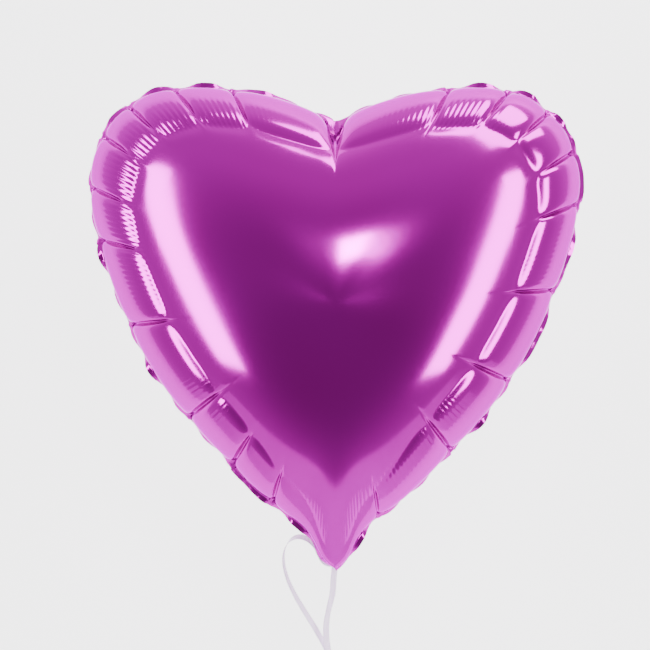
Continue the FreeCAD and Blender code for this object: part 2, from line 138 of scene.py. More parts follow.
# %% Turns of the coil
coil_low, coil_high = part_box("ribbon_coil")
coil_middle = (coil_low + coil_high) / 2
coil_outer = (coil_high.x - coil_low.x) / 2
TURNS = 8
POINTS_PER_TURN = 18
COLUMNS = (0.0, 0.0044, -0.0044)
LAYER_STEP = 0.0021
COIL_INSET = 0.0012        # from the coil's outside to the middle of its first turn
CROSSING = 0.25            # share of a turn that the ribbon takes to cross to the next column
turns = []
for i in range(TURNS * POINTS_PER_TURN + 1):
    turn = i / POINTS_PER_TURN
    whole = min(int(turn), TURNS - 1)
    ease = min(1, max(0, (turn - whole) / CROSSING))
    here, last = divmod(whole, len(COLUMNS)), divmod(max(whole - 1, 0), len(COLUMNS))
    layer = last[0] + (here[0] - last[0]) * ease
    column = COLUMNS[last[1]] + (COLUMNS[here[1]] - COLUMNS[last[1]]) * ease
    radius = coil_outer - COIL_INSET - LAYER_STEP * layer
    angle = math.pi / 2 - 2 * math.pi * turn
    turns.append((coil_middle.x + radius * math.cos(angle), coil_middle.y + column,
                  coil_middle.z + radius * math.sin(angle)))
long_line = nurbs_line("long_strand", LONG_ROUTE[:-1] + turns)
short_line = nurbs_line("short_strand", SHORT_ROUTE)


# %% [markdown]
# ## From a line to a strip
# At each point of the line the strip needs a direction for its width. It is blended from one given
# direction to the next along the line, so the ribbon turns slowly, as real ribbon does, and each time
# it is made square to the line. A shallow curve across the width keeps it from looking like card.

# %% Ribbon strips
RIBBON_BOW = 0.0003        # how far the middle of the width stands out
ACROSS = 7                 # points across the width


def ribbon_strip(name, line, facings):
    """A strip along a line. facings is a list of (share of the length, width direction)."""
    steps = np.r_[0, np.cumsum(np.linalg.norm(np.diff(line, axis=0), axis=1))]
    steps /= steps[-1]
    shares = [share for share, way in facings]
    ways = np.array([way for share, way in facings], float)
    width_way = np.stack([np.interp(steps, shares, ways[:, k]) for k in range(3)], 1)
    along = np.gradient(line, axis=0)
    along /= np.linalg.norm(along, axis=1)[:, None]
    width_way -= along * (width_way * along).sum(1)[:, None]
    width_way /= np.linalg.norm(width_way, axis=1)[:, None]
    out = np.cross(along, width_way)
    across = np.linspace(-0.5, 0.5, ACROSS)
    verts = []
    for side in (0.5, -0.5):
        for share in across:
            bow = RIBBON_BOW * (1 - (2 * share) ** 2)
            verts.append(line + width_way * (RIBBON_WIDTH * share)
                         + out * (side * RIBBON_THICKNESS + bow))
    verts = np.stack(verts, 1)
    rows, ring = len(line), verts.shape[1]
    order = list(range(ACROSS)) + list(range(ring - 1, ACROSS - 1, -1))
    faces = [(r * ring + order[k], r * ring + order[(k + 1) % ring],
              (r + 1) * ring + order[(k + 1) % ring], (r + 1) * ring + order[k])
             for r in range(rows - 1) for k in range(ring)]
    faces += [order[::-1], [(rows - 1) * ring + k for k in order]]
    mesh = bpy.data.meshes.new(name)
    mesh.from_pydata(verts.reshape(-1, 3).tolist(), [], faces)
    uv = mesh.uv_layers.new(name="along")
    length = line_length(line)
    for loop in mesh.loops:
        row, k = divmod(loop.vertex_index, ring)
        uv.data[loop.index].uv = (steps[row] * length, across[k % ACROSS] * RIBBON_WIDTH)
    tidy_normals(mesh)
    piece = bpy.data.objects.new(name, mesh)
    bpy.context.scene.collection.objects.link(piece)
    for face in mesh.polygons:
        face.use_smooth = True
    print(name, "faces:", len(mesh.polygons))
    return piece


def tidy_normals(mesh):
    """Turns every face of a closed mesh outwards."""
    work = bmesh.new()
    work.from_mesh(mesh)
    bmesh.ops.recalc_face_normals(work, faces=work.faces)
    work.to_mesh(mesh)
    work.free()
    mesh.update()


coil_start = line_length(nurbs_line("hanging_part", LONG_ROUTE)) / line_length(long_line)
long_strand = ribbon_strip("ribbon_long_strand", long_line,
                           [(0, (.9, .45, 0)), (coil_start * .4, (.8, -.6, 0)),
                            (coil_start * .75, (.75, .65, 0)), (coil_start, (0.1, 1, 0)), (1, (0, 1, 0))])
short_strand = ribbon_strip("ribbon_short_strand", short_line,
                            [(0, (0, .6, .8)), (.2, (-.5, .5, .7)), (.32, (.2, .95, .3)),
                             (.45, (.5, .85, 0)), (.62, (.75, .65, .2)), (.8, (.85, .5, .3)),
                             (1, (.6, .8, 0))])

# %% [markdown]
# ## Turns, knot and tie
# The ribbon goes three times round the gathered neck and is pulled tight in a half knot below it. A
# short piece ties the coil. All three are the same strip, on lines that go round and round.

# %% Turns of ribbon
def circling_line(centre, radii, first, second, turns, grow=0.0, wander=(0, 0, 0)):
    """A line that goes round a centre in the plane of two axes, a little further out with each turn."""
    t = np.linspace(0, 1, int(48 * turns) + 1)[:, None]
    angle = 2 * np.pi * turns * t
    size = 1 + grow * t
    return (np.array(centre) + np.array(first) * radii[0] * size * np.cos(angle)
            + np.array(second) * radii[1] * size * np.sin(angle)
            + np.array(wander) * np.sin(3.1 * np.pi * t))


WRAP_RADIUS = 0.00372
KNOT_RADIUS = 0.0021
KNOT_DROP = 0.0067         # from the middle of the turns down to the middle of the knot
TIE_RADII = (0.0074, 0.0034)    # across the coil's width, and through its turns
wrap_line = circling_line((0, 0, 0), (WRAP_RADIUS, WRAP_RADIUS), (0, 0, -1), (1, 0, 0), 3,
                          grow=0.12, wander=(0, .00025, 0))
knot_line = circling_line((0, 0, -KNOT_DROP), (KNOT_RADIUS, KNOT_RADIUS), (0, 0, 1), (0, -1, 0), 1.75,
                          grow=0.22, wander=(.0004, 0, 0))
tie_centre = (coil_middle.x, 0, coil_middle.z + coil_outer - TIE_RADII[1])
tie_line = circling_line(tie_centre, TIE_RADII, (0, 1, 0), (0, 0, 1), 2, grow=0.04)
wrap = ribbon_strip("ribbon_wrap_turns", wrap_line, [(0, (0, 1, 0)), (1, (0, 1, 0))])
knot = ribbon_strip("ribbon_knot_turns", knot_line,
                    [(0, (1, .3, 0)), (.5, (1, -.2, .1)), (1, (1, .25, -.1))])
tie = ribbon_strip("coil_tie_turns", tie_line, [(0, (1, 0, 0)), (1, (1, .04, 0))])
for piece, node in ((wrap, "ribbon_wrap"), (knot, "ribbon_knot"), (tie, "coil_tie")):
    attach(piece, "ribbon")
    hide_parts(node)

# %% [markdown]
# ## What the ribbon is
# Each strand starts at the knot and ends in a plain cut. Both are put on the ribbon's body, and the
# model's own long strand, coil and short strand are hidden.

for strand, node in ((long_strand, ("ribbon_long", "ribbon_coil")), (short_strand, ("ribbon_short",))):
    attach(strand, "ribbon")
    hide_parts(*node)

# %% [markdown]
# ## The film
# The film's shape is built up from the seam inwards, with two numbers for every point: how far along
# the seam it is, and what share of the way out from the middle. First comes the smooth dome that gas
# makes of a flat heart. On it go the pillows of the puckered rim, which end in a crease where the rim
# meets the dome, and between two pillows a sharp tuck. Blender's cloth could be blown up instead, but it
# leaves wide notches where thin film folds to a closed line, so the shape is written down as a formula.

# %% Seam outline, written in millimetres from the tip
OUTLINE = np.array([(0, 357), (30, 370), (66, 380), (108, 384), (150, 378), (181, 353), (195, 314),
                    (188, 262), (166, 199), (133, 141), (82, 83), (44, 48), (21, 29), (14, 17),
                    (8, 6.5), (0, 0)]) / 1000
MIDDLE = np.array([0, 0.212])    # every share is measured from here
front_low, front_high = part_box("front_panel")
HALF_DEPTH = front_high.y - front_low.y
BAND = 0.005               # width of the flat sealed edge


def smooth_line(points, count):
    """A natural cubic spline through the points, evened out by distance."""
    t = np.r_[0, np.cumsum(np.linalg.norm(np.diff(points, axis=0), axis=1))]
    n, h = len(t), np.diff(t)
    system, right = np.zeros((n, n)), np.zeros((n, 2))
    system[0, 0] = system[-1, -1] = 1
    for i in range(1, n - 1):
        system[i, i - 1:i + 2] = h[i - 1], 2 * (h[i - 1] + h[i]), h[i]
        right[i] = 6 * ((points[i + 1] - points[i]) / h[i] - (points[i] - points[i - 1]) / h[i - 1])
    bend = np.linalg.solve(system, right)
    s = np.linspace(0, t[-1], count)
    k = np.clip(np.searchsorted(t, s, "right") - 1, 0, n - 2)
    a, b, hk = (t[k + 1] - s)[:, None], (s - t[k])[:, None], h[k][:, None]
    return ((bend[k] * a ** 3 + bend[k + 1] * b ** 3) / (6 * hk)
            + (points[k] / hk - bend[k] * hk / 6) * a + (points[k + 1] / hk - bend[k + 1] * hk / 6) * b)


SEAM_POINTS = 2500
seam_line = smooth_line(OUTLINE, SEAM_POINTS)
seam_steps = np.r_[0, np.cumsum(np.linalg.norm(np.diff(seam_line, axis=0), axis=1))]
SEAM = float(seam_steps[-1])
print("half of the inflated seam:", round(SEAM, 3), "m")


def seam_point(along):
    """Points of the seam. along is the distance from the notch: above 0 on the right, below on the left."""
    x = np.interp(np.abs(along), seam_steps, seam_line[:, 0])
    z = np.interp(np.abs(along), seam_steps, seam_line[:, 1])
    return np.stack([np.where(along < 0, -x, x), z], -1)


NEARBY = 0.002             # the seam's direction is read over this much each way
CORNER = 0.003             # and rounded off this near to the notch and the tip


def seam_outward(along):
    """The way out at points of the seam, rounded off at its two corners, the notch and the tip."""
    ahead, behind = (np.clip(along + step, -SEAM, SEAM) for step in (NEARBY, -NEARBY))
    way = seam_point(ahead) - seam_point(behind)
    way /= np.linalg.norm(way, axis=-1)[..., None]
    out = np.stack([-way[..., 1], way[..., 0]], -1)
    corner = np.exp(-(np.abs(along) / CORNER) ** 2) + np.exp(-((SEAM - np.abs(along)) / CORNER) ** 2)
    straight = np.stack([0 * along, np.where(np.abs(along) < SEAM / 2, 1.0, -1.0)], -1)
    out = out * (1 - corner[..., None]) + straight * corner[..., None]
    return out / np.linalg.norm(out, axis=-1)[..., None]


# %% [markdown]
# ## Tucks
# Each tuck is a distance along the seam and how far it reaches inwards, both in millimetres until they
# are divided. Film never folds evenly, so they are placed one by one: short pillows round the tight
# curve of each lobe, and long ones down the straight sides.

# %% Tucks, once round the seam
TUCKS = sorted([(0, 44), (95, 30), (143, 26), (180, 24), (218, 26), (260, 34), (332, 38), (413, 40),
                (485, 38), (563, 30), (-86, 27), (-132, 25), (-172, 23), (-204, 22), (-247, 24),
                (-290, 28), (-362, 34), (-449, 38), (-500, 30), (-544, 30)])
tuck_along = np.array([t[0] for t in TUCKS]) / 1000
tuck_reach = np.array([t[1] for t in TUCKS]) / 1000
PILLOW = 0.0036            # how far a pillow stands out
PILLOW_REACH = 0.037       # how far inwards it goes
FULL_PILLOW = 0.05         # a pillow shorter than this stands out less
TUCK = 0.0042              # how deep a tuck is at the seam
TUCK_WIDTH = 0.0016
CREASE = 0.0006            # depth of the crease between the pillows and the dome
CREASE_WIDTH = 0.0045
PULL = 0.0012              # how far the film beside a tuck is drawn in
PULL_SIZE = (0.009, 0.012)      # along the seam and inwards
NOTCH = 0.006              # how much deeper the notch between the lobes is
NOTCH_SIZE = (0.010, 0.03)


def between_tucks(along):
    """For each distance: -1 to 1 from one tuck to the next, the pillow's length, and the nearest tuck."""
    k = np.searchsorted(tuck_along, along) - 1
    first, last = np.where(k < 0, 0, k), np.minimum(k + 1, len(tuck_along) - 1)
    low = np.where(k < 0, -SEAM, tuck_along[first])
    high = np.where(k + 1 >= len(tuck_along), SEAM, tuck_along[last])
    low, high = np.minimum(low, along), np.maximum(high, along)
    near = np.abs(along[:, None] - tuck_along).argmin(1)
    return 2 * (along - low) / np.maximum(high - low, 1e-6) - 1, high - low, near


# %% Softened seam
SOFT_POINTS = 1200
SOFT_WIDTH = 0.055         # corners of the seam are smoothed over this much of it
even = np.linspace(-SEAM, SEAM, SOFT_POINTS + 1)[:-1]
ring = seam_point(even)
steps_away = np.minimum(np.arange(SOFT_POINTS), SOFT_POINTS - np.arange(SOFT_POINTS))
weights = np.exp(-(steps_away * (2 * SEAM / SOFT_POINTS) / SOFT_WIDTH) ** 2)
soft_ring = np.stack([np.fft.ifft(np.fft.fft(ring[:, k]) * np.fft.fft(weights / weights.sum())).real
                      for k in range(2)], 1)


def soft_seam(along):
    """The seam with its notch and tip rounded off, which the film follows further inwards."""
    return np.stack([np.interp(along, even, soft_ring[:, k], period=2 * SEAM) for k in range(2)], -1)


# %% [markdown]
# ## Dome, way out and rim
# The film is put together from three parts: the smooth dome, the way out at each of its points, and how
# far the rim's pillows, tucks and crease move the point that way. On the dome, share is 1 at the seam
# and falls to 0 in the middle.

# %% Dome
SOFTENED = 0.42            # the outline loses its corners over this share of the way in
ROUNDED = 0.9              # and turns round over this share
ROUNDNESS = 0.8            # how round it is in the middle, where 1 is a circle
ROUND_RADIUS = 0.178       # radius of the circle that it turns into
NECK_HEIGHT = 0.058        # the film is flatter up to about this far above the tip
NECK_FLATNESS = 0.66       # share of its depth that it loses there


def dome(along, share):
    """Points of the smooth dome, and about how far each is from the seam. Rows are shares."""
    inner = np.clip((1 - share) / SOFTENED, 0, 1)[..., None]
    inner = inner ** 2 * (3 - 2 * inner)
    edge = seam_point(along)[None] * (1 - inner) + soft_seam(along)[None] * inner
    radius = np.linalg.norm(edge - MIDDLE, axis=-1)
    rounding = np.clip((1 - share) / ROUNDED, 0, 1)
    rounding = ROUNDNESS * rounding ** 2 * (3 - 2 * rounding)
    scale = share * (1 - rounding + rounding * ROUND_RADIUS / radius)
    flat = MIDDLE + (edge - MIDDLE) * scale[..., None]
    depth = HALF_DEPTH * np.maximum(0, 1 - share ** (2 + 0.3 * share)) ** (1 / 2.1)
    neck = np.exp(-(np.maximum(0, flat[..., 1]) / NECK_HEIGHT) ** 1.3)
    depth = depth * (1 - NECK_FLATNESS * neck)
    return np.stack([flat[..., 0], -depth, flat[..., 1]], -1), (1 - share) * radius


def way_out(base, along):
    """The way out at each point of the dome. Its first row lies on the seam and follows the seam's own."""
    across = np.roll(base, -1, 1) - np.roll(base, 1, 1)
    normal = np.cross(np.gradient(base, axis=0), across)
    normal /= np.maximum(np.linalg.norm(normal, axis=-1), 1e-12)[..., None]
    normal *= np.where(normal[..., 1:2] > 0, -1, 1)
    out = seam_outward(along)
    normal[0] = np.stack([out[:, 0], 0 * along, out[:, 1]], -1)
    return normal


# %% Pillows, tucks and crease
def rim(along, inward):
    """How far the puckered rim moves each point outwards. inward is the distance from the seam."""
    place, length, near = between_tucks(along)
    wide = np.minimum(1, (length / FULL_PILLOW) ** 0.5)
    swell = np.maximum(0, 1 - np.abs(place) ** 4) ** 0.5 * wide
    narrow = 1 - 0.72 * np.exp(-(np.maximum(0, seam_point(along)[:, 1]) / 0.05) ** 2)
    reach = PILLOW_REACH * (0.82 + 0.18 * swell) * narrow
    v = np.clip(inward / reach, 0, 1)
    profile = np.where(v < 0.4, np.maximum(0, 1 - np.abs(1 - v / 0.4) ** 2.6) ** 0.8,
                       1 - (np.maximum(0, v - 0.4) / 0.6) ** 2)
    gap = np.abs(along - tuck_along[near])
    fade = np.exp(-(inward / tuck_reach[near]) ** 4)
    groove = np.exp(-gap / TUCK_WIDTH)[None] * fade
    valley = np.exp(-((inward - reach) / CREASE_WIDTH) ** 2) * (0.35 + 0.65 * swell)
    pull = np.exp(-(gap / PULL_SIZE[0]) ** 1.4)[None] * np.exp(-(inward / PULL_SIZE[1]) ** 2)
    notch = np.exp(-(along / NOTCH_SIZE[0]) ** 2)[None] * np.exp(-(inward / NOTCH_SIZE[1]) ** 2)
    move = (PILLOW * profile * swell - TUCK * groove - CREASE * valley) * narrow - PULL * pull
    return move - NOTCH * notch


# %% Film
UNEVENNESS = 0.0006        # a balloon filled by hand is never quite even


def film(along, share, flip=0.0):
    """Points of the front film, with the seam plane at y = 0 and the tip at z = 0. Rows are shares."""
    share = share[:, None]
    base, inward = dome(along, share)
    round_once = np.pi * along / SEAM
    wave = (np.sin(3 * round_once + 1.3 + flip) * np.sin(5 * share + 0.7)
            + 0.6 * np.sin(7 * round_once + 0.4 - flip) * share)
    move = rim(along, inward) + UNEVENNESS * wave * (1 - share) * share * 4
    return base + way_out(base, along) * move[..., None]


# %% [markdown]
# ## The panel's mesh
# The mesh follows the film's own two directions. Its columns crowd together at each tuck, so the
# creases stay sharp, and its rows crowd together near the seam. The band outside the seam is the flat
# heat-sealed edge: it ripples, because it is as long as the flat cut was and the seam no longer is.

# %% Columns and rows
COLUMN_STEP = 0.0024
CROWDING = 0.11            # how much the columns crowd towards a tuck
RIM_SHARE, RIM_ROWS = 0.26, 46
DOME_ROWS, LAST_SHARE = 30, 0.03
stops = np.r_[-SEAM, tuck_along, SEAM]
columns = []
for low, high in zip(stops, stops[1:]):
    count = max(6, int(round((high - low) / COLUMN_STEP)))
    t = np.linspace(0, 1, count, endpoint=False)
    columns.append(low + (high - low) * (t - CROWDING * np.sin(2 * np.pi * t)))
columns = np.concatenate(columns)
rim_rows = 1 - np.linspace(0, 1, RIM_ROWS) ** 1.25 * RIM_SHARE
dome_rows = np.linspace(1 - RIM_SHARE, LAST_SHARE, DOME_ROWS)[1:]
shares = np.r_[rim_rows, dome_rows]
print("film mesh:", len(columns), "columns,", len(shares), "rows")


# %% Band
# Places where the band stands out past the pillows instead of lying back behind them, as a distance
# along the seam and half the width of the place, in millimetres until they are divided.
BAND_SHOWS = [(120, 12), (160, 10), (190, 8), (208, 8), (240, 14), (300, 16), (372, 18), (452, 10),
              (-60, 10), (-108, 14), (-150, 10), (-188, 9), (-300, 10), (-400, 9), (-525, 22), (-575, 14),
              (590, 12)]
BAND_SHOWS = [(at / 1000, wide / 1000) for at, wide in BAND_SHOWS]
BAND_ROWS = (1.0, 0.66, 0.33)   # shares of the band's width
LIES_BACK, COMES_OUT = 74, 58   # degrees that it lies back, and how many fewer where it shows
HALF_WELD = 0.00012        # from the seam plane to the middle of one layer


def band_rows(side):
    """Rows of the band's layer, from its edge to the seam, for a panel at y below 0."""
    out = seam_outward(columns)
    gap = np.abs(columns[:, None] - tuck_along).min(1)
    shown = sum(np.exp(-((columns - at) / wide) ** 2) for at, wide in BAND_SHOWS)
    tilt = np.radians(LIES_BACK - COMES_OUT * np.clip(shown, 0, 1))
    tilt = tilt + 0.25 * np.sin(columns * 190) * (gap > 0.002)
    ripple = 0.0009 * np.sin(columns / 0.0019 + 2 * np.sin(columns * 40))
    rows = []
    for share in BAND_ROWS:
        far = BAND * share
        edge = seam_point(columns) + out * (far * np.cos(tilt))[:, None]
        back = far * np.sin(tilt) + ripple * share
        rows.append(np.stack([edge[:, 0], -HALF_WELD - side * back, edge[:, 1]], -1))
    return np.stack(rows)


# %% Panels
SEAM_LIFT = 0.0035         # from the panel's lowest point, on the band, up to the tip of the seam


def film_panel(name, side, flip):
    """One panel: film, cap in the middle and layer of the band. side is -1 in front and 1 behind."""
    grid = np.concatenate([band_rows(side), film(columns, shares, flip)])
    grid[..., 1] *= -side
    total, count = grid.shape[:2]
    verts = grid.reshape(-1, 3) + (0, seam_y, tip_z + SEAM_LIFT)
    # faces and the cap run so that they point away from the gas, on either side
    faces = []
    for r in range(total - 1):
        for c in range(count):
            d = (c + 1) % count
            quad = (r * count + c, (r + 1) * count + c, (r + 1) * count + d, r * count + d)
            faces.append(quad if side < 0 else quad[::-1])
    cap = [(total - 1) * count + c for c in reversed(range(count))]
    faces.append(cap if side < 0 else cap[::-1])
    mesh = bpy.data.meshes.new(name)
    mesh.from_pydata(verts.tolist(), [], faces)
    loop_verts = np.zeros(len(mesh.loops), int)
    mesh.loops.foreach_get("vertex_index", loop_verts)
    radius = np.linalg.norm(seam_point(columns) - MIDDLE, axis=1)
    inward = np.concatenate([-BAND * np.array(BAND_ROWS), 1 - shares])
    inward = np.where(inward[:, None] < 0, inward[:, None], inward[:, None] * radius)
    rim_uv = np.stack([np.broadcast_to(np.abs(columns), (total, count)), inward], -1).reshape(-1, 2)
    uv = mesh.uv_layers.new(name="rim")
    uv.data.foreach_set("uv", rim_uv[loop_verts].ravel())
    for face in mesh.polygons:
        face.use_smooth = True
    panel = bpy.data.objects.new(name, mesh)
    bpy.context.scene.collection.objects.link(panel)
    print(name, "faces:", len(mesh.polygons))
    return panel


front_film = film_panel("front_film", -1, 0.0)
back_film = film_panel("back_film", 1, 2.1)

# %% [markdown]
# ## How large the flat cut is
# The dome is longer from side to side than its own shadow, and film doesn't stretch, so the flat heart
# must be as wide as the dome's arc. That is how an 18-inch heart comes out about 40 cm wide.

# %% Sheets
def arc(points):
    """The length of a row of points."""
    return float(np.linalg.norm(np.diff(points, axis=0), axis=1).sum())


# three columns close together, where the heart is widest
widest = np.array([0.2400, 0.2401, 0.2402])
stretch = (arc(film(widest, np.linspace(1, 0, 90))[:, 1])
           / float(np.linalg.norm(seam_point(widest)[1] - MIDDLE)))
for piece, node in ((front_film, "front_panel"), (back_film, "back_panel")):
    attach(piece, "balloon")
    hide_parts(node)

# %% [markdown]
# ## The inflation tail
# Past the tie, the filling tail is folded up behind the neck. It is two plies of the same film, sealed
# down their sides and open at the mouth, and once it has been used it never lies quite flat again. Each
# ply is a rippled grid, and a Solidify modifier gives it its thickness.

# %% Tail plies
TAIL_LENGTH, TAIL_LEAN = 0.046, math.radians(40)
TAIL_OFFSET = 0.00885      # how far behind the tie it starts
flare_lengths, flare_widths = [0, .00552, .01932, .0276], [.004, .00675, .01335, .015]
flare = np.polyfit(flare_lengths, flare_widths, 3)
PLY_GAP = 0.00025          # half of the gap between the plies
MOUTH_OPEN = 0.0026        # half of how far the mouth stands open
MOUTH_CORNER = 0.003
FILM_THICKNESS = 0.00015


def tail_ply(name, side):
    """One rippled ply, with its side edges sealed to the other ply and its mouth a little open."""
    length = np.linspace(0, TAIL_LENGTH, 47)
    half = np.where(length < flare_lengths[-1], np.polyval(flare, length), flare_widths[-1])
    corner = np.maximum(0, length - (TAIL_LENGTH - MOUTH_CORNER))
    half = half - (MOUTH_CORNER - np.sqrt(np.maximum(0, MOUTH_CORNER ** 2 - corner ** 2)))
    across = np.linspace(-1, 1, 31)
    x = half[:, None] * across
    run = (length / TAIL_LENGTH)[:, None]
    open_up = MOUTH_OPEN * (1 - across ** 2) ** 1.2 * run ** 2 * (3 - 2 * run)
    ripple = .0005 * run * np.sin(x * 520 + 5 * run) + .0004 * run * np.sin(x * 190 - 9 * run)
    y = side * (PLY_GAP + open_up) + ripple
    z = np.broadcast_to(length[:, None], x.shape)
    lean_y = y * math.cos(TAIL_LEAN) + z * math.sin(TAIL_LEAN) + TAIL_OFFSET
    lean_z = -y * math.sin(TAIL_LEAN) + z * math.cos(TAIL_LEAN)
    verts = np.stack([x, lean_y, lean_z], -1).reshape(-1, 3)
    wide = len(across)
    faces = [(r * wide + c, r * wide + c + 1, (r + 1) * wide + c + 1, (r + 1) * wide + c)
             for r in range(len(length) - 1) for c in range(wide - 1)]
    mesh = bpy.data.meshes.new(name)
    mesh.from_pydata(verts.tolist(), [], faces)
    ply = bpy.data.objects.new(name, mesh)
    bpy.context.scene.collection.objects.link(ply)
    nothing_selected()
    ply.select_set(True)
    bpy.context.view_layer.objects.active = ply
    wall = ply.modifiers.new("film", "SOLIDIFY")
    wall.thickness, wall.offset = FILM_THICKNESS, 0
    bpy.ops.object.modifier_apply(modifier=wall.name)
    bpy.ops.object.shade_smooth()
    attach(ply, "tail")
    return ply


tail_front = tail_ply("tail_front_film", -1)
tail_back = tail_ply("tail_back_film", 1)
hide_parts("tail_front_ply")
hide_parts("tail_back_ply")

# %% [markdown]
# ## Foil
# Metallised film is a mirror under a layer of clear colour. A mirror shows what is round it, so most
# of its look comes from the lights. The finish itself is a deep magenta metal, nearly smooth, with a
# faint unevenness that makes reflections ripple, and with fine ribs across the rim.

# %% Shader group: film ripple
def ripple_group():
    """Soft ripples and fine creases of thin film, as a height and a mask."""
    group = bpy.data.node_groups.new("film ripple", "ShaderNodeTree")
    for name, default in (("Ripple Size", 18.0), ("Crease Size", 120.0)):
        socket = group.interface.new_socket(name=name, in_out="INPUT", socket_type="NodeSocketFloat")
        socket.default_value = default
    group.interface.new_socket(name="Vector", in_out="INPUT", socket_type="NodeSocketVector")
    group.interface.new_socket(name="Height", in_out="OUTPUT", socket_type="NodeSocketFloat")
    group.interface.new_socket(name="Patch", in_out="OUTPUT", socket_type="NodeSocketFloat")
    add, link = group.nodes.new, group.links.new
    inputs, outputs = add("NodeGroupInput"), add("NodeGroupOutput")
    soft, sharp, mix = add("ShaderNodeTexNoise"), add("ShaderNodeTexNoise"), add("ShaderNodeMath")
    soft.inputs["Detail"].default_value = 1
    sharp.inputs["Detail"].default_value = 3
    sharp.inputs["Distortion"].default_value = 0.6
    mix.operation = "MULTIPLY_ADD"
    mix.inputs[1].default_value = 0.18
    for texture, size in ((soft, "Ripple Size"), (sharp, "Crease Size")):
        link(inputs.outputs["Vector"], texture.inputs["Vector"])
        link(inputs.outputs[size], texture.inputs["Scale"])
    link(sharp.outputs["Fac"], mix.inputs[0])
    link(soft.outputs["Fac"], mix.inputs[2])
    link(mix.outputs[0], outputs.inputs["Height"])
    link(soft.outputs["Fac"], outputs.inputs["Patch"])
    return group


film_ripple = ripple_group()


def new_material(name):
    """A new material, with its nodes and its links."""
    material = bpy.data.materials.new(name)
    material.use_nodes = True
    return material, material.node_tree.nodes, material.node_tree.links


# %% Foil material
def foil_material(name, bump, ripple_size, crease_size, ribs=0.0):
    """Magenta mirror film. ribs is the strength of the fine pleats across the inner half of the rim."""
    material, add, links = new_material(name)
    shader = add["Principled BSDF"]
    shader.inputs["Metallic"].default_value = 1
    coordinates, ripple = add.new("ShaderNodeTexCoord"), add.new("ShaderNodeGroup")
    ripple.node_tree = film_ripple
    ripple.inputs["Ripple Size"].default_value = ripple_size
    ripple.inputs["Crease Size"].default_value = crease_size
    links.new(coordinates.outputs["Object"], ripple.inputs["Vector"])
    colour, rough, height = (add.new(kind) for kind in (
        "ShaderNodeMix", "ShaderNodeMapRange", "ShaderNodeBump"))
    colour.data_type = "RGBA"
    colour.inputs["A"].default_value = (0.37, 0.0, 0.30, 1)
    colour.inputs["B"].default_value = (0.42, 0.0, 0.38, 1)
    shader.inputs["Specular Tint"].default_value = (0.8, 0.0, 0.8, 1)
    rough.inputs["To Min"].default_value = 0.10
    rough.inputs["To Max"].default_value = 0.17
    height.inputs["Strength"].default_value = bump
    height.inputs["Distance"].default_value = 0.0008
    height.invert = ribs > 0        # on the ribbed panels the relief is pressed inwards
    links.new(ripple.outputs["Patch"], colour.inputs["Factor"])
    links.new(ripple.outputs["Patch"], rough.inputs["Value"])
    links.new(ripple.outputs["Height"], height.inputs["Height"])
    links.new(colour.outputs["Result"], shader.inputs["Base Color"])
    links.new(rough.outputs["Result"], shader.inputs["Roughness"])
    links.new(height.outputs["Normal"], shader.inputs["Normal"])
    if ribs:
        add_ribs(add, links, coordinates, ripple, height, shader, ribs)
    return material


RIB_STEP = 0.0048


def add_ribs(add, links, coordinates, ripple, height, shader, strength):
    """Sine ribs along the seam, inside a window of the distance inwards, stronger in some places."""
    split, angle, wave, inner, outer, window, placed, some, masked, fine = (
        add.new(kind) for kind in ("ShaderNodeSeparateXYZ", "ShaderNodeMath", "ShaderNodeMath",
                                   "ShaderNodeMapRange", "ShaderNodeMapRange", "ShaderNodeMath",
                                   "ShaderNodeMath", "ShaderNodeMapRange", "ShaderNodeMath",
                                   "ShaderNodeBump"))
    angle.operation, wave.operation, window.operation, placed.operation = (
        "MULTIPLY_ADD", "SINE", "MULTIPLY", "MULTIPLY")
    angle.inputs[1].default_value = 2 * math.pi / RIB_STEP
    inner.inputs["From Min"].default_value, inner.inputs["From Max"].default_value = 0.012, 0.024
    outer.inputs["From Min"].default_value, outer.inputs["From Max"].default_value = 0.040, 0.034
    for edge in (inner, outer):
        edge.interpolation_type = "SMOOTHSTEP"
    fine.inputs["Strength"].default_value = strength
    fine.inputs["Distance"].default_value = 0.0006
    fine.invert = True
    links.new(coordinates.outputs["UV"], split.inputs["Vector"])
    links.new(split.outputs["X"], angle.inputs[0])
    links.new(ripple.outputs["Patch"], angle.inputs[2])
    links.new(angle.outputs[0], wave.inputs[0])
    links.new(split.outputs["Y"], inner.inputs["Value"])
    links.new(split.outputs["Y"], outer.inputs["Value"])
    links.new(inner.outputs["Result"], window.inputs[0])
    links.new(outer.outputs["Result"], window.inputs[1])
    some.inputs["From Min"].default_value, some.inputs["From Max"].default_value = 0.42, 0.62
    masked.operation = "MULTIPLY"
    links.new(wave.outputs[0], placed.inputs[0])
    links.new(window.outputs[0], placed.inputs[1])
    links.new(ripple.outputs["Patch"], some.inputs["Value"])
    links.new(placed.outputs[0], masked.inputs[0])
    links.new(some.outputs["Result"], masked.inputs[1])
    links.new(masked.outputs[0], fine.inputs["Height"])
    links.new(height.outputs["Normal"], fine.inputs["Normal"])
    links.new(fine.outputs["Normal"], shader.inputs["Normal"])


foil = foil_material("magenta foil", 0.04, 9, 90, ribs=0.28)
crushed_foil = foil_material("crushed magenta foil", 0.5, 160, 700)

# %% [markdown]
# ## Ribbon
# Curling ribbon is thin polypropylene, white with a lilac cast. Fine lines run along it, from the
# rollers that it was drawn through, and a little light comes through it.

